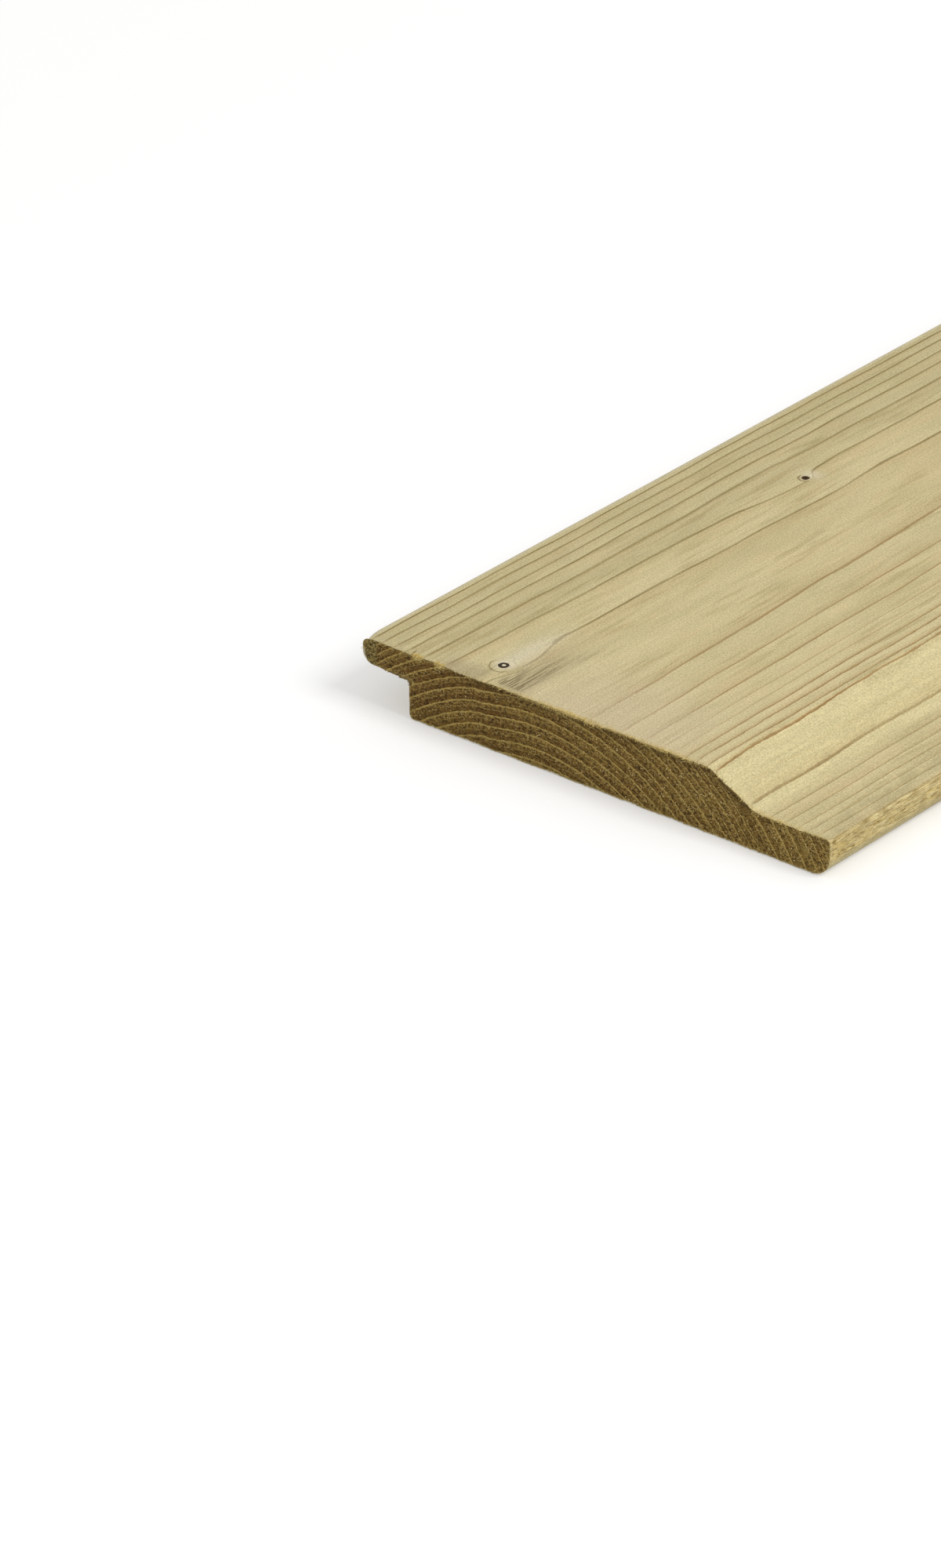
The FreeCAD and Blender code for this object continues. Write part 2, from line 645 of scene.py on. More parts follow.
def end_points(ring, y_end, outwards):
    """A sawn end as (column, row, 3) points: the ruled grid, with the side's moved points on its outline.

    The surface stands in and out by saw roughness, and the nose of the lip is crushed back on the near end.
    """
    grid = np.empty((COLUMNS, ROWS, 3))
    grid[..., 0] = section[..., 0]
    grid[..., 2] = section[..., 1]
    grid[..., 1] = y_end
    grid[ring_column, ring_row] = ring
    x, z = grid[..., 0], grid[..., 2]
    earlywood = 1 - latewood(ring_count(distance_from_pith(x, grid[..., 1], z)))
    fine = noise_at(x, z * 0, z, (0.9, 1.0, 0.9), seed=8)
    coarse = noise_at(x, z * 0, z, (3.0, 1.0, 2.0), seed=9)
    grid[..., 1] += outwards * SAW_ROUGHNESS * (0.6 * fine + 0.5 * coarse - 0.7 * earlywood)
    if outwards < 0:
        crushed = CRUSHED_NOSE * (1 - ease(x, -0.5, 5.0)) ** 1.5
        grid[..., 1] += crushed + 0.4 * tear_depth(x) * ease(z, 16.8, 18.0)
    return grid


near_end = end_points(sides[0], 0.0, -1.0)
far_end = end_points(sides[-1], LENGTH, 1.0)
sides[0] = near_end[ring_column, ring_row]
sides[-1] = far_end[ring_column, ring_row]
sides[1:12, :, 1] = np.maximum(sides[1:12, :, 1], sides[0, :, 1] + 0.02 * np.arange(1, 12)[:, None])
print("near end stands between", near_end[..., 1].min().round(3), "and", near_end[..., 1].max().round(3), "mm")

# %% [markdown]
# ## Joining the grids into one closed mesh
#
# Every grid is a table of vertex numbers, and a quad takes each number with its neighbours one step along
# both directions. The ends use the numbers of the sides' first and last rings on their outlines, so the
# surface is closed without merging anything afterwards.


# %% Index tables and quads
def quads_of(table):
    """Quads of a table of vertex numbers: each number, its next down, next diagonal and next right."""
    return np.stack([table[:-1, :-1], table[1:, :-1], table[1:, 1:], table[:-1, 1:]], -1).reshape(-1, 4)


def end_table(ring_numbers, first_free):
    """Vertex numbers of an end grid: the ring's on the outline, new ones inside."""
    table = np.full((COLUMNS, ROWS), -1)
    table[ring_column, ring_row] = ring_numbers
    inside = table < 0
    table[inside] = first_free + np.arange(inside.sum())
    return table, inside


side_table = np.arange(STATIONS * RING).reshape(STATIONS, RING)
near_table, near_inside = end_table(side_table[0], STATIONS * RING)
far_table, far_inside = end_table(side_table[-1], STATIONS * RING + int(near_inside.sum()))
board_points = np.concatenate((sides.reshape(-1, 3), near_end[near_inside], far_end[far_inside]))
wrapped = np.concatenate((side_table, side_table[:, :1]), axis=1)
side_quads = quads_of(wrapped)
near_quads = quads_of(near_table)
far_quads = quads_of(far_table)[:, ::-1]
print(len(side_quads), "side quads,", len(near_quads), "on each end")

# %% [markdown]
# ## Torn fibres
#
# Along the sawn arris and the tongue's rough edge, single fibres stand off the wood. Each is a thin bent
# sliver: a triangle carried along a curve and drawn out to a point. They are worked out as one array of
# (fibre, ring, corner) points and joined to the board's mesh, because they are the same piece of wood.

# %% Fibre shapes
FIBRE_RINGS = 4
FIBRE_SIDES = 3


def unit_rows(vectors):
    return vectors / np.linalg.norm(vectors, axis=1, keepdims=True)


def fibre_points(roots, directions, bends, lengths, thicknesses):
    """Points of bent slivers: root + direction * s + bend * s squared, round which a triangle shrinks."""
    s = np.linspace(0, 1, FIBRE_RINGS)[None, :, None]
    reach = lengths[:, None, None]
    middle = roots[:, None] + directions[:, None] * s * reach + bends[:, None] * s * s * reach
    aside = unit_rows(np.cross(directions, bends + np.array([0.3, 0.1, 0.2])))
    above = unit_rows(np.cross(directions, aside))
    angle = np.arange(FIBRE_SIDES) * 2 * np.pi / FIBRE_SIDES
    around = aside[:, None] * np.cos(angle)[None, :, None] + above[:, None] * np.sin(angle)[None, :, None]
    taper = (1 - 0.8 * s**1.5) * thicknesses[:, None, None]
    return middle[:, :, None] + around[:, None] * taper[..., None]


def fibre_faces(count, first):
    """Quads round each sliver and a triangle on both of its ends."""
    per_fibre = FIBRE_RINGS * FIBRE_SIDES
    table = first + np.arange(count * per_fibre).reshape(count, FIBRE_RINGS, FIBRE_SIDES)
    turned = np.roll(table, -1, axis=2)
    quads = np.stack([table[:, :-1], turned[:, :-1], turned[:, 1:], table[:, 1:]], -1).reshape(-1, 4)
    caps = np.concatenate((table[:, 0, ::-1], table[:, -1]))
    return quads, caps

# %% Fibres along the sawn arris
rng = np.random.default_rng(7)
ARRIS_FIBRES = 2300
LONGEST_FIBRE = 1.15

# Stretches across the board where the face's arris carries a tuft: from, to and density
TUFTS = ((15.9, 18.8, 5.0), (22.8, 25.8, 3.5), (33.0, 36.5, 1.2), (40.0, 58.0, 1.3), (60.0, 76.0, 1.9))
TUFTS = TUFTS + ((78.0, 97.0, 2.3), (98.0, 108.0, 1.4), (110.0, 119.0, 0.8), (119.0, 126.0, 2.0))
TUFTS = TUFTS + ((127.0, 142.0, 1.2),)


def arris_density(x, z):
    """How many fibres stand where on the arris: tufts on the face and the cove, a fuzz along the back."""
    on_face = ease(z, 9.5, 10.3) * (1 - ease(x, 143.0, 145.0))
    tufts = sum(density * window(x, start, end, 0.8) for start, end, density in TUFTS)
    under_lip = 2.0 * window(x, 8.5, 15.3, 1.0) * window(z, 9.6, 11.2, 0.3)
    back = 0.5 * (1 - ease(z, 0.1, 0.6)) * window(x, 17.0, 141.0, 3.0)
    nose = 0.8 * (1 - ease(x, 1.0, 3.0)) * ease(z, 10.9, 11.1)
    return on_face * (0.15 + tufts) * ease(x, 5.0, 8.0) + under_lip + back + nose


def outline_places(count, density):
    """Ring numbers drawn with a density along the outline, in patches of noise."""
    x, z = outline.T
    patches = 0.25 + limited(noise_at(x, 0 * x, z, (2.2, 1.0, 4.0), seed=11) * 1.5 + 0.4)
    step = np.linalg.norm(np.roll(outline, -1, axis=0) - outline, axis=1)
    weight = density(x, z) * patches * step
    return rng.choice(RING, size=count, p=weight / weight.sum())


def arris_fibres(count):
    """Roots, directions, bends, lengths and thicknesses of the fibres on the near end's arris."""
    at = outline_places(count, arris_density)
    x, z = outline[at].T
    up = outward[at, 1]
    on_face = ease(up, -0.2, 0.4)
    roots = sides[0, at] + np.stack([rng.uniform(-0.3, 0.3, count), 0 * x, 0 * x], 1)
    roots[:, 1] += rng.uniform(-0.05, 0.7, count) * on_face
    roots[:, 2] -= rng.uniform(-0.02, 0.30, count) * up
    forward = rng.uniform(0.15, 1.0, count)
    lift = up * rng.uniform(-0.85, 0.30, count) * on_face + rng.uniform(-0.05, 0.25, count) * (1 - on_face)
    directions = unit_rows(np.stack([rng.normal(0, 0.9, count), -forward, lift], 1))
    bends = rng.normal(0, 0.35, (count, 3)) * (1, 1, 0.6)
    lengths = np.minimum(0.18 + rng.gamma(2.2, 0.16, count), LONGEST_FIBRE) * (0.45 + 0.55 * on_face)
    return roots, directions, bends, lengths, rng.uniform(0.035, 0.105, count)


arris = arris_fibres(ARRIS_FIBRES)
print(ARRIS_FIBRES, "arris fibres, longest", round(float(arris[3].max()), 2), "mm")

# %% Fibres along the tongue's rough edge
EDGE_FIBRES = 800
TONGUE_WALL_TOP = TONGUE_THICKNESS - 0.7


def tongue_fibres(count):
    """Slivers that lie along the tongue's edge, lifted a little at one end, and denser near the near end."""
    y = 1.0 + (LENGTH - 12.0) * rng.uniform(0, 1, count) ** 2.2
    z = rng.uniform(TONGUE_BACK_RADIUS - 0.5, TONGUE_WALL_TOP, count)
    roots = np.stack([np.full(count, WIDTH - 0.02), y, z], 1)
    lean = [rng.uniform(0.0, 0.05, count), np.ones(count), rng.normal(0, 0.08, count)]
    directions = unit_rows(np.stack(lean, 1))
    bends = np.stack([rng.uniform(-0.02, 0.05, count), 0 * y, rng.normal(0, 0.10, count)], 1)
    return roots, directions, bends, 0.6 + rng.gamma(2.0, 1.2, count), rng.uniform(0.04, 0.10, count)


edge = tongue_fibres(EDGE_FIBRES)
fibres = [np.concatenate(pair) for pair in zip(arris, edge)]
fibre_mesh = fibre_points(*fibres)
fibre_mesh[..., 2] = np.maximum(fibre_mesh[..., 2], -0.05)
fibre_quads, fibre_caps = fibre_faces(len(fibres[0]), len(board_points))
print(len(fibres[0]), "fibres,", 2 * len(fibre_quads) + len(fibre_caps), "triangles")

# %% [markdown]
# ## The mesh, and a map for it
#
# The material never reads the map: it reads the wood's own coordinates. The map is for whoever bakes the
# finish later. The board is twelve times as long as it is wide, so the map gives the outline the full width
# and squeezes the length, because grain changes slowly along the board and quickly across it.

# %% Build the mesh
PLANED, SAWN, TORN = 0, 1, 2
END_STRIP = 0.045
MAP_GAP = 0.01


def side_map():
    """Map places of the side quads' corners: round the outline, and along the board in the middle band."""
    u = np.concatenate((length_along(outline), [0.0]))
    u[-1] = u[-2] + np.linalg.norm(outline[0] - outline[-1])
    u = 0.004 + 0.992 * u / u[-1]
    v = 2 * END_STRIP + MAP_GAP * 2 + (1 - 3 * END_STRIP - 4 * MAP_GAP) * along / LENGTH
    table = np.stack(np.meshgrid(u, v), -1).reshape(-1, 2)
    return table[quads_of(np.arange(STATIONS * (RING + 1)).reshape(STATIONS, RING + 1))]


def end_map(bottom, backwards):
    """Map places of an end's quads: the section itself, stretched over a strip of the map."""
    table = section / (WIDTH, THICKNESS) * (0.992, END_STRIP - MAP_GAP) + (0.004, bottom)
    corners = table.reshape(-1, 2)[quads_of(np.arange(COLUMNS * ROWS).reshape(COLUMNS, ROWS))]
    return corners[:, ::-1] if backwards else corners


def fibre_map(corner_count):
    """Fibres share a small strip at the map's top: across by their place across the board."""
    place = fibre_mesh.reshape(-1, 3)
    up = 1 - END_STRIP * (0.1 + 0.8 * fraction(place[:, 1] / 37.0))
    spot = np.stack([0.004 + 0.992 * place[:, 0] / WIDTH, up], 1)
    numbers = np.concatenate((fibre_quads.ravel(), fibre_caps.ravel())) - len(board_points)
    return spot[numbers]


def distance_to_outline(points):
    """Distance in mm of each end point from the section's outline, and 0 for every other point."""
    distance = np.zeros(len(points))
    numbers = np.concatenate((near_table[near_inside], far_table[far_inside]))
    inner = points[numbers][:, None, (0, 2)]
    distance[numbers] = np.sqrt(((inner - outline[None]) ** 2).sum(-1)).min(axis=1)
    return distance


def build_board():
    points = np.concatenate((board_points, fibre_mesh.reshape(-1, 3)))
    place = points * MM + np.array([low[0], low[1], low[2]])
    quads = np.concatenate((side_quads, near_quads, far_quads, fibre_quads))
    loops = np.concatenate((quads.ravel(), fibre_caps.ravel()))
    sizes = np.concatenate((np.full(len(quads), 4), np.full(len(fibre_caps), 3)))
    starts = np.concatenate(([0], np.cumsum(sizes)[:-1]))
    finish = np.concatenate(
        (
            np.full(len(side_quads), PLANED),
            np.full(len(near_quads) + len(far_quads), SAWN),
            np.full(len(fibre_quads) + len(fibre_caps), TORN),
        )
    )
    mesh = bpy.data.meshes.new("shiplap_board_surface")
    mesh.vertices.add(len(place))
    mesh.vertices.foreach_set("co", place.astype(np.float32).ravel())
    mesh.loops.add(len(loops))
    mesh.loops.foreach_set("vertex_index", loops.astype(np.int32))
    mesh.polygons.add(len(sizes))
    mesh.polygons.foreach_set("loop_start", starts.astype(np.int32))
    mesh.polygons.foreach_set("material_index", finish.astype(np.int32))
    mesh.update(calc_edges=True)
    mesh.validate()
    uv = np.concatenate(
        (
            side_map().reshape(-1, 2),
            end_map(MAP_GAP, False).reshape(-1, 2),
            end_map(END_STRIP + MAP_GAP, True).reshape(-1, 2),
            fibre_map(len(loops)),
        )
    )
    rim = mesh.attributes.new("from_outline", "FLOAT", "POINT")
    rim.data.foreach_set("value", distance_to_outline(points).astype(np.float32))
    layer = mesh.uv_layers.new(name="OFBake")
    layer.uv.foreach_set("vector", uv.astype(np.float32).ravel())
    mesh.polygons.foreach_set("use_smooth", np.ones(len(sizes), bool))
    mesh.set_sharp_from_angle(angle=math.radians(42))
    return mesh


board = bpy.data.objects.new("planed_board", build_board())
bpy.context.collection.objects.link(board)
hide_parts("shiplap_board")
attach(board, "root")
print("board mesh:", len(board.data.vertices), "points,", len(board.data.polygons), "faces")

# %% [markdown]
# ## Shader helpers
#
# The materials below are formulas too. These helpers hand out the wood's coordinates as wires, add noise of a
# given grain size in millimetres, count growth rings with a curve, and mix colours.


# %% Coordinates and noise in a material
def wood_coordinates(tree):
    """Across, along and height in mm, from the piece's own Object coordinates."""
    coordinates = tree.nodes.new("ShaderNodeTexCoord")
    parts = tree.nodes.new("ShaderNodeSeparateXYZ")
    tree.links.new(coordinates.outputs["Object"], parts.inputs[0])
    return [(Wire(tree, parts.outputs[k]) - low[k]) * (1 / MM) for k in range(3)]


def attribute(tree, name):
    node = tree.nodes.new("ShaderNodeAttribute")
    node.attribute_name = name
    return Wire(tree, node.outputs["Fac"])


def grain_noise(x, y, z, size, detail=2.0, roughness=0.5, shift=0.0):
    """Noise from 0 to 1 with the given (across, along, height) feature sizes in mm."""
    tree = x.tree
    place = tree.nodes.new("ShaderNodeCombineXYZ")
    for value, length, socket in zip((x, y, z), size, place.inputs):
        connect(tree, value * (1 / length) + shift, socket)
    node = tree.nodes.new("ShaderNodeTexNoise")
    node.inputs["Scale"].default_value = 1.0
    node.inputs["Detail"].default_value = detail
    node.inputs["Roughness"].default_value = roughness
    tree.links.new(place.outputs[0], node.inputs["Vector"])
    return Wire(tree, node.outputs["Fac"])

# %% Colours in a material
def srgb(red, green, blue):
    """A colour written as on a screen, 0 to 255, as the linear values that shaders use."""
    parts = np.array([red, green, blue]) / 255
    linear = np.where(parts > 0.04045, ((parts + 0.055) / 1.055) ** 2.4, parts / 12.92)
    return (*(float(v) for v in linear), 1.0)


def mixed(tree, share, first, second, mode="MIX"):
    """Two colours mixed by a share from 0 to 1, or the first one treated with the second by another mode."""
    node = tree.nodes.new("ShaderNodeMix")
    node.data_type = "RGBA"
    node.blend_type = mode
    node.clamp_factor = True
    for value, name in ((share, "Factor_Float"), (first, "A_Color"), (second, "B_Color")):
        socket = next(s for s in node.inputs if s.identifier == name)
        connect(tree, value, socket)
    return Wire(tree, next(s for s in node.outputs if s.identifier == "Result_Color"))


def dimmed(tree, colour, amount):
    """A colour times a number."""
    grey = tree.nodes.new("ShaderNodeCombineColor")
    for socket in grey.inputs[:3]:
        connect(tree, amount, socket)
    return mixed(tree, 1.0, colour, Wire(tree, grey.outputs[0]), mode="MULTIPLY")


def new_finish(name, roughness):
    """A node material with a Principled shader, and its tree and shader."""
    material = bpy.data.materials.new(name)
    material.use_nodes = True
    tree = material.node_tree
    shader = tree.nodes["Principled BSDF"]
    shader.inputs["IOR"].default_value = 1.45
    shader.inputs["Specular IOR Level"].default_value = 0.25
    shader.inputs["Roughness"].default_value = roughness
    return material, tree, shader


def raise_surface(tree, shader, height, distance_mm):
    """Bump from a height wire of about 0 to 1, which stands for the given real height."""
    bump = tree.nodes.new("ShaderNodeBump")
    bump.inputs["Strength"].default_value = 1.0
    bump.inputs["Distance"].default_value = distance_mm * MM
    connect(tree, height, bump.inputs["Height"])
    tree.links.new(bump.outputs[0], shader.inputs["Normal"])

# %% [markdown]
# ## The planed face
#
# Treated softwood is pale tan with a green cast. Latewood shows as thin darker lines, olive towards the lip
# and redder towards the cove, each ring with a strength of its own. Between them lie short fibre flecks, and
# slow patches where the wood took up more or less of the treatment.


# %% Lines of the planed faces
def jittered(x, y, z):
    """Ring distance with a real line's small irregularities: the place across is shifted by noise in mm."""
    wobble = grain_noise(x, y, z, (4.0, 18.0, 4.0), detail=2.0) - 0.5
    fine = grain_noise(x, y, z, (1.0, 3.2, 1.0), detail=1.0, shift=7.0) - 0.5
    calm = 1 - 0.6 * ease(x, 107.0, 109.0)
    shift = (wobble * 0.8 + fine * (0.15 + 0.45 * ease(x, 98.0, 104.0))) * calm
    return distance_from_pith(x + shift, y, z)


def line_strength(count, x, y):
    """Each ring's own darkness, fainter in places and at the sawn end, and none before the nearest knot."""
    own = through(count, range(len(RING_DARKNESS)), RING_DARKNESS)
    along_grain = grain_noise(x, y, count, (9.0, 26.0, 0.7), detail=1.0, shift=3.0)
    pale_stretch = 1 - 0.45 * window(x, 89.0, 98.0, 3.0)
    before_knot = 1 - window(x, 28.6, 42.4, 1.6) * (1 - ease(y, 8.0, 12.0))
    at_end = 0.35 + 0.65 * ease(y, 0.4, 3.4)
    return own * (0.55 + 0.9 * along_grain) * pale_stretch * before_knot * at_end


# %% Tones of the planed faces
# How much thinner than usual the lines are, at places across the board: finest above the pith
THIN_PLACES = (0, 20, 38, 53, 69, 85, 96, 100, 107, 108.5, 113, 116, 145)
THINNESS = (0.62, 0.70, 1.7, 3.0, 1.8, 1.05, 0.95, 0.66, 0.66, 0.44, 0.44, 1.0, 1.0)
# Brightness of the bands between the lines, as places across the near end and shares of the base tone
BAND_PLACES = (
    (0, 3, 8, 12, 14, 18, 20, 26, 29, 38, 55, 68, 71, 78)
    + (81, 92, 98, 103, 110, 112, 120, 124, 133, 145)
)
BAND_TONES = (
    (1.00, 0.97, 0.94, 0.96, 0.985, 0.98, 0.94, 0.95, 1.06, 1.055, 1.065, 1.06, 1.02, 1.02)
    + (1.09, 1.06, 1.07, 1.075, 1.06, 1.01, 1.015, 1.04, 1.035, 0.99)
)
PALE = srgb(207, 193, 148)
GREEN_GREY = srgb(190, 178, 132)
PEACH = srgb(214, 190, 146)
CREAM_COVE_LIGHT = srgb(219, 206, 158)
OLIVE_LINE = srgb(132, 115, 66)
BROWN_LINE = srgb(158, 126, 80)
SOFT_SHADE = srgb(186, 160, 110)
OLIVE_SHADE = srgb(176, 158, 106)


def body_colour(tree, x, y, z):
    """Colour between the lines: treated pale wood with slow green, peach and pale patches along the grain, and
    painted light on the cove, which is made creamier and paler where it faces the lamp.
    """
    across = x - (pith_across(y) - pith_across(0.0))
    green = grain_noise(x, y, z, (8.0, 42.0, 8.0), detail=3.0, roughness=0.55)
    peach = grain_noise(x, y, z, (6.0, 30.0, 6.0), detail=2.0, shift=31.0)
    colour = mixed(tree, ease(green, 0.42, 0.68) * 0.55, PALE, GREEN_GREY)
    colour = mixed(tree, ease(peach, 0.50, 0.72) * 0.35, colour, PEACH)
    # Painted light: the cove, which faces the lamp, is painted creamier and paler
    colour = mixed(tree, window(x, 110.5, 124.0, 4.0) * 0.55, colour, CREAM_COVE_LIGHT)
    return dimmed(tree, colour, through(across, BAND_PLACES, BAND_TONES))


# %% Marks of the planed faces
KNOT_BLACK = srgb(42, 29, 8)
KNOT_BROWN = srgb(150, 108, 66)
CRESCENT = srgb(124, 104, 66)
HALO = srgb(222, 211, 180)
ASH = srgb(150, 136, 108)
ASH_DARK = srgb(112, 96, 62)
STAIN_PINK = srgb(206, 189, 156)
NOSE_TOP = srgb(214, 203, 168)
STRAND_DARK = srgb(160, 136, 82)
STRAND_PALE = srgb(224, 207, 152)
FRINGE = srgb(200, 172, 98)
# How yellow the torn fringe at the sawn arris is, at places across the board
FRINGE_PLACES = (0, 5, 15.5, 16, 18.7, 19.2, 22.6, 23.2, 25.6, 26.2, 40, 60, 66, 78, 82, 96, 108, 121, 124, 145)
FRINGE_AMOUNTS = (
    (0, 0.05, 0.1, 1.1, 1.0, 0.05, 0.05, 1.0, 0.9, 0.05)
    + (0.15, 0.6, 0.9, 0.5, 0.35, 0.7, 0.05, 0.15, 0.5, 0.25)
)


def with_knot(tree, colour, x, y, z, knot, ragged):
    """A knot on the surface: brown or pale heart, dark ring, pale halo and a pale trail along the grain."""
    u, v, share = from_knot(x, y, z, knot)
    q = root(u * u + v * v * 0.92 + 0.0001) * (1 / (knot.radius * share)) + ragged * 0.35
    reach = blend(knot.pale_heart, 0.22, 1.0)
    trail = bell(u, 0.3, 2.2 + knot.radius) * ease(v, -2.0, 3.0) * (1 - ease(v, 8.0 * reach, 32.0 * reach))
    colour = mixed(tree, trail * 0.75 * knot.deadness, colour, HALO)
    behind = blend(ease(v, -2.0, 1.5), knot.halo_before, 0.85)
    colour = mixed(tree, (1 - ease(q, 0.5 * knot.halo_size, knot.halo_size)) * behind, colour, HALO)
    on_near_side = 1 - ease(v + u * 0.5, -1.4 * knot.radius, 0.4 * knot.radius)
    crescent = bell(q, knot.halo_size, 0.30 - 0.13 * knot.pale_heart) * on_near_side
    colour = mixed(tree, crescent * 0.8, colour, CRESCENT)
    heart = mixed(tree, knot.pale_heart, mixed(tree, knot.deadness * 0.7, KNOT_BROWN, KNOT_BLACK), HALO)
    rings = sine(q * (5.0 + 3.0 * knot.radius)) * 0.5 + 0.5
    heart = mixed(tree, rings * 0.4 * (1 - knot.deadness), heart, SOFT_SHADE)
    core = (1 - ease(q, 0.35, 0.80)) * knot.deadness * (1 - knot.pale_heart)
    heart = mixed(tree, core, heart, KNOT_BLACK)
    colour = mixed(tree, 1 - ease(q, 1.0, 1.15), colour, heart)
    ring = window(q, 0.46, 1.24, 0.20) * (0.35 + 0.62 * knot.deadness) * blend(knot.pale_heart, 0.5, 1.0)
    return mixed(tree, ring, colour, KNOT_BLACK)


# %% Planed softwood
planed, tree, shader = new_finish("planed_faces", roughness=0.8)
x, y, z = wood_coordinates(tree)
count = ring_count(jittered(x, y, z))
part = fraction(count)
strength = line_strength(count, x, y)
beside_knot = bell(x, 40.5, 4.0) * (1 - ease(y, 10.0, 22.0))
behind_knot = bell(x, 38.3, 2.2) * bell(y, 29.0, 7.0)
narrow = through(x, THIN_PLACES, THINNESS) + 1.5 * beside_knot + 1.8 * behind_knot
line = latewood(count, narrow) * strength
by_knot = limited(beside_knot + behind_knot)
soft = ease(part, 0.45, 0.95) * (1 - ease(part, 0.97, 1.0)) * strength * (1 - 0.8 * by_knot)

fleck = grain_noise(x, y, z, (0.36, 0.60, 0.36), detail=1.0, roughness=0.7)
streak = grain_noise(x, y, z, (0.6, 10.0, 0.6), detail=3.0, roughness=0.6, shift=13.0)
fibre = grain_noise(x, y, z, (0.26, 9.0, 0.26), detail=1.0, shift=41.0)
band = grain_noise(x, y, z, (1.5, 24.0, 1.5), detail=2.0, roughness=0.6, shift=29.0)
patch = grain_noise(x, y, z, (10.0, 34.0, 10.0), detail=1.0, shift=47.0)

body = body_colour(tree, x, y, z)
body = mixed(tree, soft * (0.40 + 0.30 * window(x, 98.0, 110.0, 4.0)), body, SOFT_SHADE)
line_colour = mixed(tree, ease(x, 30.0, 72.0) * (1 - 0.6 * ease(x, 112.0, 122.0)), OLIVE_LINE, BROWN_LINE)
body = mixed(tree, line * (0.35 + streak) * 0.95, body, line_colour)
passing_knot = bell(x - ease(y, 0.0, 10.0) * 2.5, 39.4, 0.22) * (1 - ease(y, 9.0, 13.0))
body = mixed(tree, passing_knot * 0.75, body, OLIVE_LINE)
calm_cove = 1 - 0.7 * window(x, 109.0, 124.0, 3.0)
mottled = limited(ease(patch, 0.46, 0.62) + window(x, 19.0, 27.0, 3.0)) * calm_cove
body = mixed(tree, (1 - ease(band, 0.34, 0.54)) * 0.45 * mottled, body, OLIVE_SHADE)
between = bell(part, 0.48, 0.07) * ease(streak, 0.42, 0.62)
body = mixed(tree, between * strength * 0.35, body, SOFT_SHADE)

near = 1 - ease(y, 4.0, 42.0)
body = mixed(tree, near * window(x, 52.0, 99.0, 18.0) * streak * 1.1, body, STAIN_PINK)
body = mixed(tree, (1 - ease(y, 2.0, 9.0)) * window(x, 25.0, 37.0, 4.0) * 0.45, body, ASH)
ash_shade = window(x, 42.0, 51.0, 4.0) * (1 - ease(y, 6.0, 50.0)) * 0.35
body = mixed(tree, ash_shade, body, ASH)
ash_lines = window(x, 41.0, 49.0, 2.5) * ease(y, 0.6, 2.2) * (1 - ease(y, 7.0, 27.0)) * ease(fibre, 0.47, 0.58)
body = mixed(tree, ash_lines * 0.80, body, ASH_DARK)
split = window(x, 15.5, 15.9, 0.3) * (1 - ease(y, 1.2, 2.8))
body = mixed(tree, split * 0.9, body, KNOT_BLACK)
ragged = grain_noise(x, y, z, (0.8, 0.8, 0.8), detail=1.0, shift=37.0) - 0.5
for knot in KNOTS:
    body = with_knot(tree, body, x, y, z, knot, ragged)
nose_top = (1 - ease(x, 1.9, 2.5)) * ease(z, 14.5, 16.0)
body = mixed(tree, nose_top * 0.75, body, NOSE_TOP)

edge_strand = grain_noise(x, y, z, (3.0, 4.0, 0.36), detail=3.0, roughness=0.6, shift=71.0)
torn_edge = ease(x, 144.3, 144.75) * ease(z, 3.0, 4.5)
strand_colour = mixed(tree, ease(edge_strand, 0.30, 0.66), STRAND_DARK, STRAND_PALE)
body = mixed(tree, torn_edge * 0.85, body, strand_colour)

from_end = y + (grain_noise(x, y, z, (0.5, 1.4, 0.5), detail=2.0, shift=23.0) - 0.5) * 3.2
fringe = through(x, FRINGE_PLACES, FRINGE_AMOUNTS)
body = mixed(tree, (1 - ease(from_end, 0.2, 1.6)) * fringe, body, FRINGE)
body = mixed(tree, (1 - ease(from_end, -0.7, 0.25)) * 0.55, body, ASH_DARK)
grime = grain_noise(x, y, z, (5.0, 5.0, 5.0), detail=2.0, shift=87.0)
body = dimmed(tree, body, 1.0 - 0.10 * window(x, 138.0, 146.0, 4.0) * ease(grime, 0.35, 0.6))

body = dimmed(tree, body, 0.29 + fleck * 0.90 + streak * 0.36 + band * 0.18)
connect(tree, body, shader.inputs["Base Color"])
raise_surface(tree, shader, fleck * 0.45 + streak * 0.4 - line * 0.2 + edge_strand * torn_edge * 1.6, 0.14)
print("planed finish uses", len(tree.nodes), "nodes")

# %% [markdown]
# ## The sawn end
#
# End grain drinks the treatment, so the sawn end is dark brown. Here the rings read the other way round: the
# dense latewood stays pale, as thin olive arcs. The saw leaves the surface rough, with cut fibre ends that
# catch the light as small pale specks.

# %% Sawn end grain
sawn, tree, shader = new_finish("sawn_end_grain", roughness=0.9)
x, y, z = wood_coordinates(tree)
warp = (grain_noise(x, y, z, (2.2, 2.2, 2.2), detail=2.0) - 0.5) * 0.55
count = ring_count(distance_from_pith(x, y, z) + warp)
part = fraction(count)
arc = ease(part, 0.80, 0.90) * (1 - ease(part, 0.95, 1.0))
golden = ease(part, 0.35, 0.80)
second_arc = bell(part, 0.45, 0.05)
inner = attribute(tree, "from_outline")

stain = grain_noise(x, y, z, (16.0, 16.0, 8.0), detail=3.0)
rough = grain_noise(x, y, z, (0.85, 0.85, 0.55), detail=3.0, roughness=0.70)
blotch = grain_noise(x, y, z, (2.2, 2.2, 1.1), detail=2.0, roughness=0.6, shift=37.0)
speck = grain_noise(x, y, z, (0.46, 0.46, 0.34), detail=1.0, shift=19.0)
clump = grain_noise(x, y, z, (2.6, 2.6, 1.6), detail=2.0, shift=53.0)
broken = grain_noise(x, y, z, (0.9, 0.9, 0.9), detail=2.0, shift=5.0)
fuzz = grain_noise(x, y, z, (0.35, 0.35, 0.30), detail=2.0, shift=63.0)

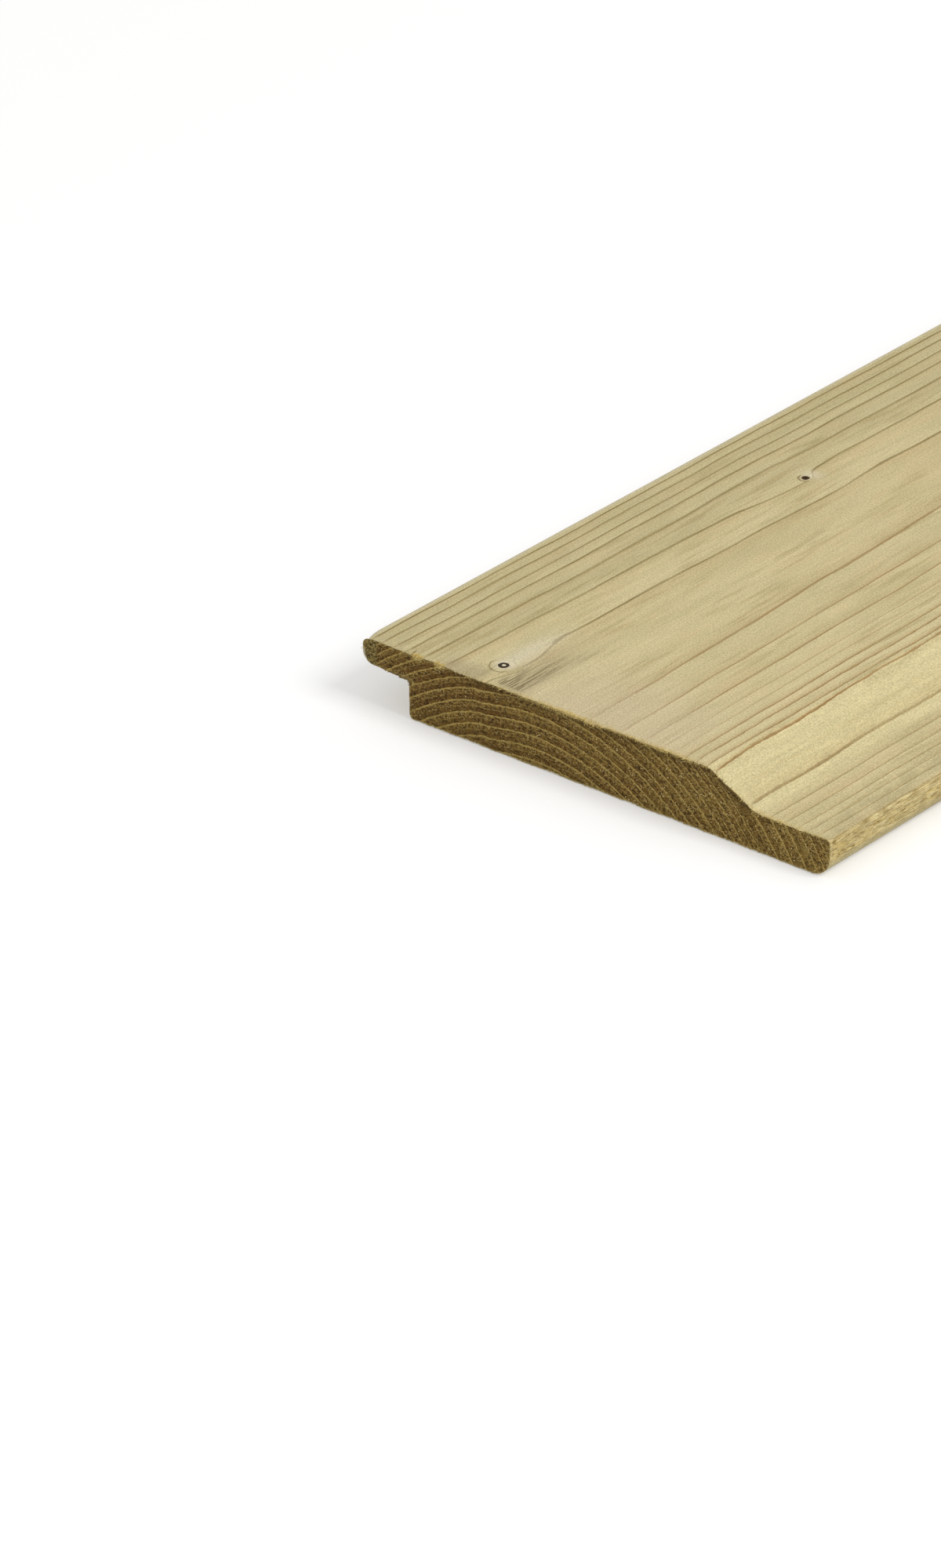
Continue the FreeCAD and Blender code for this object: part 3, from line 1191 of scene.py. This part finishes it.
DARK_BROWN = srgb(108, 77, 29)
BROWN_OLIVE = srgb(134, 107, 48)
# Dark colour of the end grain's pits, also used for painted shade below the arris and in the hollows of the
# rough saw cut
DARK_PIT_AND_SHADE = srgb(52, 33, 5)
PALE_ARC_AND_HIGHLIGHT = srgb(190, 163, 96)
ARC = srgb(190, 163, 92)
GOLDEN = srgb(142, 114, 54)
SPECK = srgb(222, 198, 136)
TUFT = srgb(206, 182, 112)
RIM = srgb(196, 176, 118)
NOSE_DARK = srgb(68, 56, 20)
NOSE_PALE = srgb(162, 143, 84)
NOSE_RIM = srgb(226, 216, 186)

body = mixed(tree, limited(ease(stain, 0.35, 0.7) * 0.6 + ease(x, 20.0, 130.0) * 0.5), DARK_BROWN, BROWN_OLIVE)
tongueward = ease(x, 45.0, 100.0)
body = mixed(tree, golden * (0.55 + 0.20 * tongueward), body, GOLDEN)
body = mixed(tree, (1 - ease(blotch, 0.36, 0.52)) * 0.55, body, DARK_PIT_AND_SHADE)
# Partly painted light: the rough surface gets a painted highlight on the spots the bump raises and painted
# shade in its hollows, over the end grain's own pale and dark flecks
body = mixed(tree, ease(rough, 0.50, 0.63) * (0.15 + 0.60 * golden + 0.14 * tongueward), body, PALE_ARC_AND_HIGHLIGHT)
body = mixed(tree, (1 - ease(rough, 0.36, 0.49)) * 0.85, body, DARK_PIT_AND_SHADE)
body = mixed(tree, arc * (0.50 + 0.50 * ease(broken, 0.40, 0.56)), body, ARC)
body = mixed(tree, second_arc * ease(broken, 0.40, 0.58) * 0.5, body, PALE_ARC_AND_HIGHLIGHT)
body = mixed(tree, ease(speck + (clump - 0.5) * 0.30, 0.655, 0.70) * (0.6 + 0.4 * tongueward), body, SPECK)

# Painted shade: the end is darkened in a band just below the arris of the face and the cove
painted_shade_below_arris = ease(x, 20.0, 40.0) * (1 - ease(inner, 0.5, 3.2)) * ease(z, 8.0, 11.0)
body = mixed(tree, painted_shade_below_arris * 0.5, body, DARK_PIT_AND_SHADE)
nose = 1 - ease(x + (fuzz - 0.5) * 1.2, 4.2, 5.0)
nose_colour = mixed(tree, ease(rough, 0.42, 0.58), NOSE_DARK, NOSE_PALE)
body = mixed(tree, nose * 0.85, body, nose_colour)
tufts = through(x, FRINGE_PLACES, FRINGE_AMOUNTS) * ease(z, 8.0, 10.0)
torn = ease(tufts * 1.5 - 0.25 + (fuzz - 0.5) * 3.4 - inner, 0.0, 0.30)
body = mixed(tree, torn * 0.85, body, TUFT)
rim = (1 - ease(inner + (fuzz - 0.5) * 1.2, 0.12, 0.60)) * (0.35 + 0.65 * (1 - ease(z, 0.2, 1.5)))
body = mixed(tree, rim * 0.8, body, RIM)
at_rim = 1 - ease(inner + (fuzz - 0.5) * 1.0, 0.25, 0.9)
pale_nose = (1 - ease(x, 0.5, 1.8)) * at_rim * (1 - ease(z, 14.0, 15.5))
body = mixed(tree, pale_nose * 0.8, body, NOSE_RIM)
connect(tree, body, shader.inputs["Base Color"])
raise_surface(tree, shader, rough * 1.0 + arc * 0.15 + speck * 0.5, 0.40)
print("sawn finish uses", len(tree.nodes), "nodes")

# %% [markdown]
# ## Torn fibres
#
# Fibres that stand off the wood are dry and pale yellow, and some stay brown with treatment. Those hanging
# under the lip are darkened with painted shade.

# %% Torn fibre finish
torn, tree, shader = new_finish("torn_fibres", roughness=0.85)
x, y, z = wood_coordinates(tree)
kind = grain_noise(x, y, z, (0.6, 2.0, 0.6), detail=1.0)
FIBRE_BROWN = srgb(146, 118, 60)
FIBRE_YELLOW = srgb(222, 200, 130)
FIBRE_SHADED = srgb(110, 84, 44)
body = mixed(tree, ease(kind, 0.34, 0.54), FIBRE_BROWN, FIBRE_YELLOW)
# Painted shade on the fibres that hang under the lip, in the corner of the rebate
painted_shade_under_lip = window(x, 6.0, 15.6, 1.0) * window(z, 9.0, 11.4, 0.4)
body = mixed(tree, painted_shade_under_lip * 0.8, body, FIBRE_SHADED)
connect(tree, body, shader.inputs["Base Color"])
for finish in (planed, sawn, torn):
    board.data.materials.append(finish)
print("finishes:", [m.name for m in board.data.materials])

# %% [markdown]
# ## Floor and light
#
# The board lies on a plain pale floor. Soft light from a bright surrounding and one broad lamp keeps colours
# about as they are written. The floor is a matt white that the camera sees a little brighter than it is lit,
# and brighter still far from the board, so it meets the background without an edge and holds the shadow.

# %% Floor
FLOOR_SIZE = 12.0
FLOOR_GAP = 0.0002
NEAR_GLOW = 0.30
MORE_GLOW_FAR = 0.20
GLOW_RISES_FROM = 1.2
GLOW_RISES_TO = 3.2

floor_mesh = bpy.data.meshes.new("floor")
half = FLOOR_SIZE / 2
corners = [(sx * half, sy * half, low[2] - FLOOR_GAP) for sx, sy in ((-1, -1), (1, -1), (1, 1), (-1, 1))]
floor_mesh.from_pydata(corners, [], [(0, 1, 2, 3)])
floor = bpy.data.objects.new("floor", floor_mesh)
bpy.context.collection.objects.link(floor)

paper = bpy.data.materials.new("white_floor")
paper.use_nodes = True
tree = paper.node_tree
matt = tree.nodes["Principled BSDF"]
matt.inputs["Base Color"].default_value = (0.82, 0.82, 0.82, 1)
matt.inputs["Roughness"].default_value = 1.0
matt.inputs["Specular IOR Level"].default_value = 0.0
seen = tree.nodes.new("ShaderNodeLightPath")
x, y, _ = wood_coordinates(tree)
aside = (x - WIDTH / 2) * MM
ahead = (y - LENGTH / 2) * MM
from_board = root(aside * aside + ahead * ahead)
glow_level = NEAR_GLOW + MORE_GLOW_FAR * ease(from_board, GLOW_RISES_FROM, GLOW_RISES_TO)
glow = Wire(tree, seen.outputs["Is Camera Ray"]) * glow_level
matt.inputs["Emission Color"].default_value = (1, 1, 1, 1)
connect(tree, glow, matt.inputs["Emission Strength"])
floor_mesh.materials.append(paper)

# %% Surrounding light
SKY_LEVEL = 0.62

world = bpy.data.worlds.new("surroundings")
bpy.context.scene.world = world
world.use_nodes = True
tree = world.node_tree
background = tree.nodes["Background"]
background.inputs["Color"].default_value = (1, 1, 1, 1)
seen = tree.nodes.new("ShaderNodeLightPath")
strength = Wire(tree, seen.outputs["Is Camera Ray"]) * (1 - SKY_LEVEL) + SKY_LEVEL
connect(tree, strength, background.inputs["Strength"])


# %% Lamps
def soft_lamp(name, place, target, size, watts, tint=(1, 1, 1)):
    """A square area lamp at a place, turned to face a target."""
    data = bpy.data.lights.new(name, "AREA")
    data.shape = "SQUARE"
    data.size = size
    data.energy = watts
    data.color = tint
    lamp = bpy.data.objects.new(name, data)
    bpy.context.collection.objects.link(lamp)
    lamp.location = place
    lamp.rotation_mode = "QUATERNION"
    lamp.rotation_quaternion = (Vector(target) - Vector(place)).to_track_quat("-Z", "Y")
    return lamp


soft_lamp("key_lamp", (1.9, -0.6, 2.0), (0, -0.75, 0), 1.2, 34.0, (1.0, 0.985, 0.95))

scene = bpy.context.scene
scene.view_settings.view_transform = "Standard"
